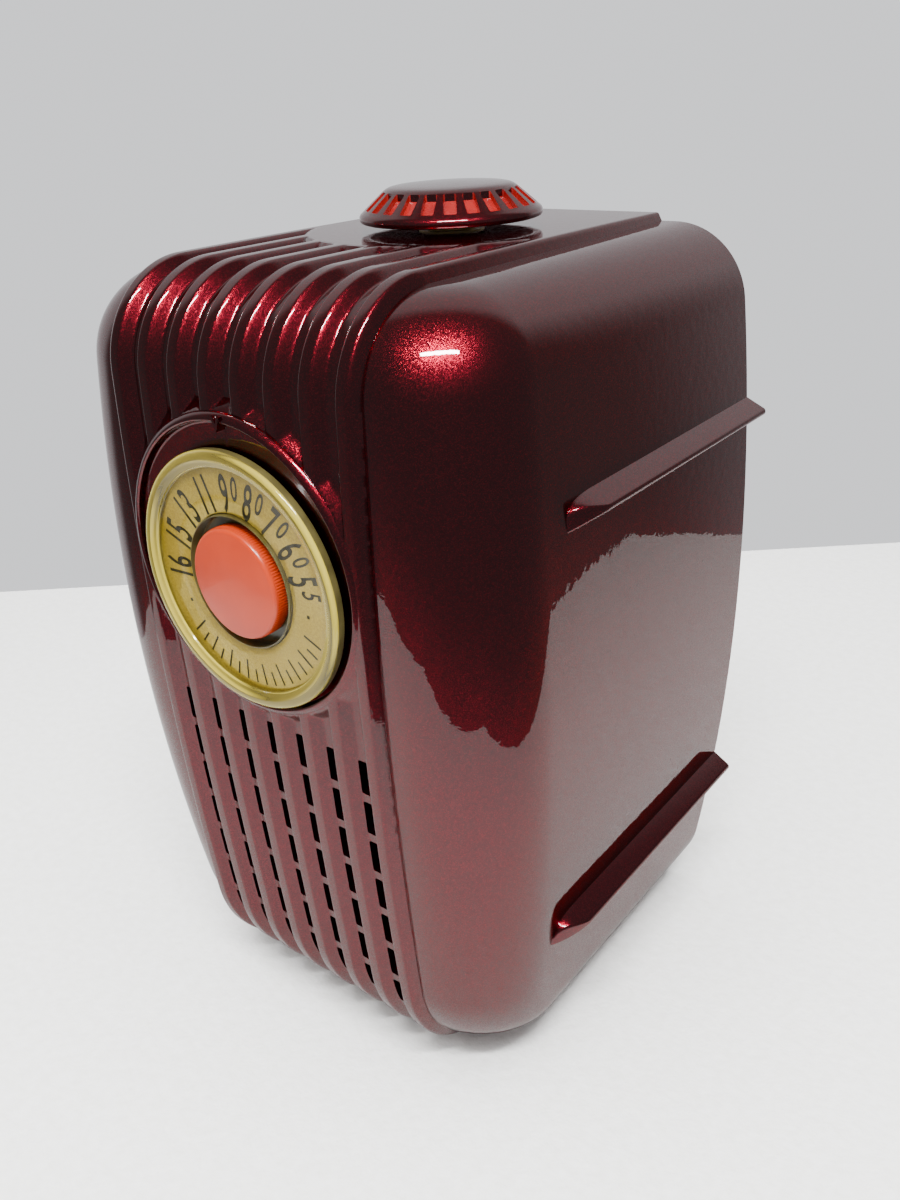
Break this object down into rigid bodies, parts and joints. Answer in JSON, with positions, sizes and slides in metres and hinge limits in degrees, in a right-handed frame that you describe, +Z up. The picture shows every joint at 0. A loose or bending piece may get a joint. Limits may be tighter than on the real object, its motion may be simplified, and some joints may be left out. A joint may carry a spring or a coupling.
{
  "type": "table radio",
  "caption": "Upright moulded table radio with a ribbed front, a printed tuning dial around a volume knob and a pull-up handle on top.",
  "frame": {"origin": "on the table, below the middle of the whole object", "axes": "+X to the right of someone facing the dial, -Y out of the front, +Z up"},
  "size_m": [0.1508, 0.1374, 0.24],
  "materials": {
    "lacquer": "clear-coated deep red lacquer with fine metal flake",
    "fibreboard": "pressed fibreboard",
    "plated_steel": "dull plated",
    "aluminium": "satin",
    "brass": "turned",
    "dark_bakelite": "moulded, semi-gloss",
    "waxed_coil": "waxed winding",
    "rubber": "matt",
    "cloth": "woven",
    "cone_paper": "pressed paper",
    "valve_glass": "clear blown glass",
    "gold_print": "gold print with dark figures",
    "clear_plastic": "clear moulded plastic, slightly yellowed",
    "orange_plastic": "moulded, glossy"
  },
  "bodies": {
    "housing": {"cabinet": "lacquer", "rear_cover": "fibreboard", "cover_screw_1": "plated_steel", "cover_screw_2": "plated_steel", "cover_screw_3": "plated_steel", "cover_screw_4": "plated_steel", "foot_1": "rubber", "foot_2": "rubber", "foot_3": "rubber", "foot_4": "rubber", "chassis": "plated_steel", "chassis_screw_1": "plated_steel", "chassis_screw_2": "plated_steel", "tube_socket_1": "dark_bakelite", "tube_1": "valve_glass", "tube_socket_2": "dark_bakelite", "tube_2": "valve_glass", "tube_socket_3": "dark_bakelite", "tube_3": "valve_glass", "tube_socket_4": "dark_bakelite", "tube_4": "valve_glass", "tube_socket_5": "dark_bakelite", "tube_5": "valve_glass", "if_can_1": "aluminium", "if_can_2": "aluminium", "electrolytic_can": "aluminium", "oscillator_coil": "waxed_coil", "output_transformer": "plated_steel", "loop_aerial": "waxed_coil", "inlet_grommet": "rubber", "grille_cloth": "cloth", "baffle_board": "fibreboard", "speaker_frame": "plated_steel", "speaker_magnet": "plated_steel", "capacitor_frame": "aluminium", "volume_control": "dark_bakelite", "drive_cord": "cloth", "dial_bush": "brass", "handle_bush": "brass"},
    "tuning": {"dial_disc": "gold_print", "dial_lens": "clear_plastic", "tuning_hub": "brass", "dial_shaft": "brass", "dial_drum": "dark_bakelite"},
    "volume": {"volume_knob": "orange_plastic", "volume_shaft": "plated_steel"},
    "tuner_rotor": {"capacitor_rotor": "aluminium", "capacitor_drum": "dark_bakelite"},
    "cone": {"speaker_cone": "cone_paper"},
    "handle": {"handle_disc": "lacquer", "handle_stem": "plated_steel", "handle_collar": "plated_steel"}
  },
  "joints": [
    {"name": "tuning_turn", "type": "hinge", "parent": "housing", "child": "tuning", "pos_m": [0, -0.0662, 0.1572], "axis": [0, -1, 0], "range_deg": [-90, 120]},
    {"name": "tuner_turn", "type": "hinge", "parent": "housing", "child": "tuner_rotor", "pos_m": [0, -0.0033, 0.112], "axis": [0, -1, 0], "range_deg": [-77.2, 102.9]},
    {"name": "volume_turn", "type": "hinge", "parent": "housing", "child": "volume", "pos_m": [0, -0.0687, 0.1572], "axis": [0, -1, 0], "range_deg": [-300, 0]},
    {"name": "handle_lift", "type": "slide", "parent": "housing", "child": "handle", "axis": [0, 0, 1], "range_m": [0, 0.022]},
    {"name": "cone_travel", "type": "slide", "parent": "housing", "child": "cone", "axis": [0, -1, 0], "range_m": [-0.0006, 0.0006], "stiffness_N_per_m": 1500}
  ],
  "couplings": [
    {"joint": "tuner_turn", "follows": "tuning_turn", "ratio": 0.85714}
  ]
}
